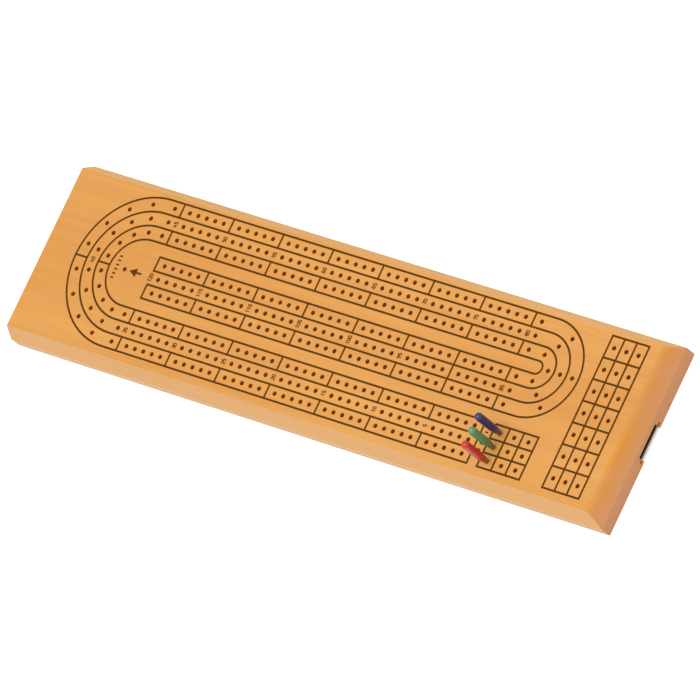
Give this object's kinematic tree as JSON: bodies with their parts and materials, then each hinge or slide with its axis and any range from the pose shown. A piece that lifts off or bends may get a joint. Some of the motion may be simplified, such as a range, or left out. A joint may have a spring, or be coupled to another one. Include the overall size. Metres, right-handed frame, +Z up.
{
  "type": "cribbage board",
  "caption": "Long wooden cribbage board with three printed lanes of peg holes, coloured pegs standing in it and a sliding cover over a peg compartment in the underside.",
  "frame": {"origin": "centre of the board's underside", "axes": "+X along the board towards the bevelled end where the cover slides out, +Y towards the back edge, +Z up"},
  "size_m": [0.3768, 0.096, 0.0383],
  "materials": {
    "wood": "clear satin varnish over honey-coloured alder or beech, straight grain along the board",
    "ink": "matt dark brown printing ink",
    "cover_steel": "dark bronze-coloured, brushed along its length",
    "peg_blue": "glossy moulded plastic",
    "peg_green": "glossy moulded plastic",
    "peg_red": "glossy moulded plastic"
  },
  "bodies": {
    "board": {"board": "wood", "print_track": "ink", "print_numerals": "ink", "print_start_grid": "ink", "print_games_grid": "ink", "print_marks": "ink"},
    "cover": {"cover": "cover_steel"},
    "peg_blue": {"peg_blue": "peg_blue"},
    "peg_green": {"peg_green": "peg_green"},
    "peg_red": {"peg_red": "peg_red"},
    "spare_peg_blue_1": {"spare_peg_blue_1": "peg_blue"},
    "spare_peg_green_1": {"spare_peg_green_1": "peg_green"},
    "spare_peg_red_1": {"spare_peg_red_1": "peg_red"},
    "spare_peg_blue_2": {"spare_peg_blue_2": "peg_blue"},
    "spare_peg_green_2": {"spare_peg_green_2": "peg_green"},
    "spare_peg_red_2": {"spare_peg_red_2": "peg_red"}
  },
  "joints": [
    {"name": "cover_slide", "type": "slide", "parent": "board", "child": "cover", "axis": [1, 0, 0], "range_m": [0, 0.108]},
    {"name": "peg_blue_lift", "type": "slide", "parent": "board", "child": "peg_blue", "axis": [0, 0, 1], "range_m": [0, 0.035]},
    {"name": "peg_green_lift", "type": "slide", "parent": "board", "child": "peg_green", "axis": [0, 0, 1], "range_m": [0, 0.035]},
    {"name": "peg_red_lift", "type": "slide", "parent": "board", "child": "peg_red", "axis": [0, 0, 1], "range_m": [0, 0.035]},
    {"name": "spare_peg_blue_1_slip", "type": "slide", "parent": "board", "child": "spare_peg_blue_1", "axis": [1, 0, 0], "range_m": [-0.002, 0.002]},
    {"name": "spare_peg_green_1_slip", "type": "slide", "parent": "board", "child": "spare_peg_green_1", "axis": [1, 0, 0], "range_m": [-0.002, 0.002]},
    {"name": "spare_peg_red_1_slip", "type": "slide", "parent": "board", "child": "spare_peg_red_1", "axis": [1, 0, 0], "range_m": [-0.002, 0.002]},
    {"name": "spare_peg_blue_2_slip", "type": "slide", "parent": "board", "child": "spare_peg_blue_2", "axis": [1, 0, 0], "range_m": [-0.002, 0.002]},
    {"name": "spare_peg_green_2_slip", "type": "slide", "parent": "board", "child": "spare_peg_green_2", "axis": [1, 0, 0], "range_m": [-0.002, 0.002]},
    {"name": "spare_peg_red_2_slip", "type": "slide", "parent": "board", "child": "spare_peg_red_2", "axis": [1, 0, 0], "range_m": [-0.002, 0.002]}
  ]
}
